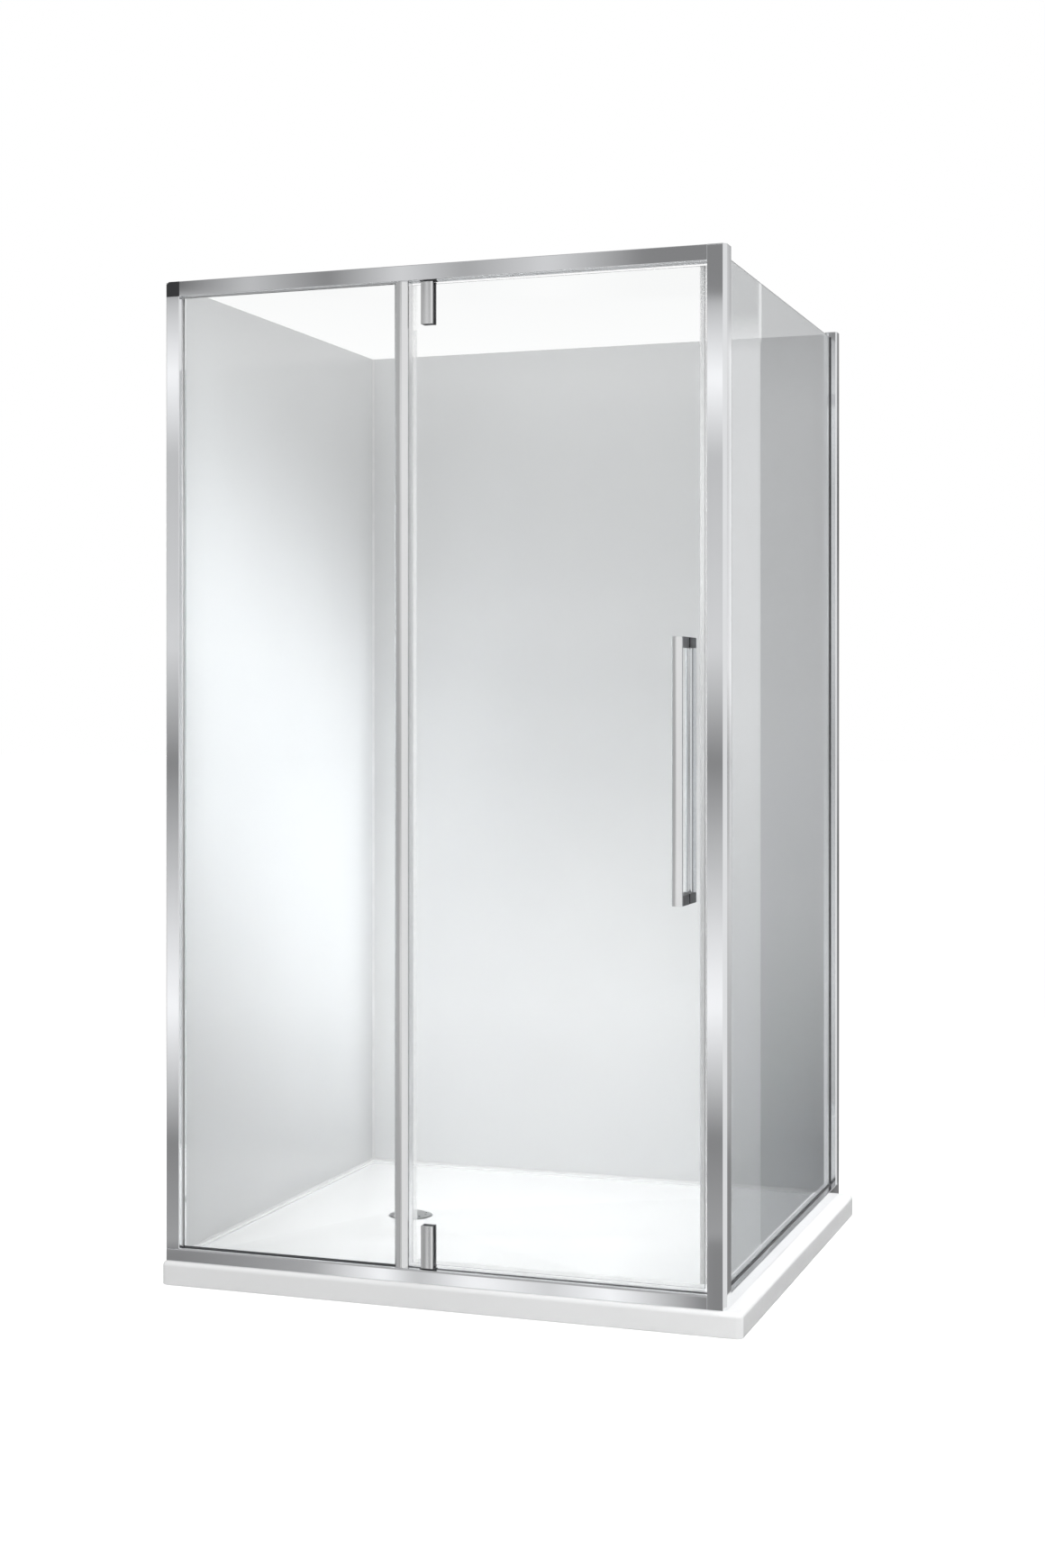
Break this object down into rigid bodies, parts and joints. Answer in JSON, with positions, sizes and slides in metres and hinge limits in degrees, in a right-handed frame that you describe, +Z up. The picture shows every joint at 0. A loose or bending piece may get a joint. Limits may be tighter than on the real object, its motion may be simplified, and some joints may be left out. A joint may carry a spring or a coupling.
{
  "type": "pivot door shower enclosure",
  "caption": "Framed glass shower enclosure on a low tray: two wall liners, a fixed light beside a pivot door with a bar handle, and a glass return panel",
  "frame": {"origin": "centre of the flat underside of the shower tray, on the floor", "axes": "+Z up; +X from the walled left side to the glass return panel on the right, seen from the front; +Y from the door side to the back wall"},
  "size_m": [1.112, 1.029, 1.873],
  "materials": {
    "tray_acrylic": "gloss white cast acrylic",
    "core_foam": "rigid foam core",
    "bright_metal": "polished bright metal profile",
    "satin_metal": "satin brushed metal",
    "channel_alloy": "plain anodised alloy",
    "graphite_metal": "dark graphite satin coating",
    "joiner_moulding": "dark moulded corner piece",
    "clear_glass": "clear toughened glass, 6 mm",
    "grey_gasket": "soft grey glazing gasket",
    "clear_seal": "clear flexible seal",
    "pale_seal": "pale magnetic seal",
    "pin_steel": "plain steel",
    "bush_polymer": "dark low-friction polymer",
    "liner_panel": "smooth pale gloss wall sheet",
    "sealant": "white sealant bead",
    "waste_metal": "satin light grey metal"
  },
  "bodies": {
    "frame_and_tray": {"tray": "tray_acrylic", "tray_core": "core_foam", "left_jamb": "bright_metal", "rear_jamb": "bright_metal", "corner_post": "bright_metal", "top_rail": "bright_metal", "front_sill": "bright_metal", "side_rail": "bright_metal", "mullion": "bright_metal", "post_cap": "bright_metal", "rear_jamb_cap": "bright_metal", "jamb_screws": "bright_metal", "left_wall_channel": "channel_alloy", "rear_wall_channel": "channel_alloy", "top_rail_infill": "channel_alloy", "sill_infill": "channel_alloy", "top_corner_joiner": "joiner_moulding", "fixed_glass": "clear_glass", "side_glass": "clear_glass", "fixed_glass_gaskets": "grey_gasket", "side_glass_gaskets": "grey_gasket", "waste_gasket": "grey_gasket", "post_magnet_strip": "pale_seal", "lower_pivot_pin": "pin_steel", "upper_pivot_pin": "pin_steel", "lower_pivot_seat": "bush_polymer", "upper_pivot_seat": "bush_polymer", "waste_nut": "bush_polymer", "left_wall_liner": "liner_panel", "back_wall_liner": "liner_panel", "corner_sealant": "sealant", "foot_sealant": "sealant", "waste_body": "waste_metal"},
    "door": {"door_glass": "clear_glass", "lower_pivot_outer": "graphite_metal", "lower_pivot_inner": "graphite_metal", "lower_pivot_face": "satin_metal", "lower_pivot_bush": "bush_polymer", "upper_pivot_outer": "graphite_metal", "upper_pivot_inner": "graphite_metal", "upper_pivot_face": "satin_metal", "upper_pivot_bush": "bush_polymer", "pivot_gaskets": "grey_gasket", "clamp_screws": "pin_steel", "door_edge_seal": "clear_seal", "door_magnet_seal": "pale_seal", "drip_seal": "clear_seal", "handle_outer_bar": "satin_metal", "handle_inner_bar": "bright_metal", "handle_outer_posts": "graphite_metal", "handle_inner_posts": "graphite_metal", "handle_studs": "pin_steel", "handle_washers": "clear_seal"},
    "cover": {"waste_cover": "waste_metal"}
  },
  "joints": [
    {"name": "door_pivot", "type": "hinge", "parent": "frame_and_tray", "child": "door", "pos_m": [-0.0285, -0.473, 0.068], "axis": [0, 0, -1], "range_deg": [0, 100]},
    {"name": "waste_cover_lift", "type": "slide", "parent": "frame_and_tray", "child": "cover", "axis": [0, 0, 1], "range_m": [0, 0.06]}
  ]
}
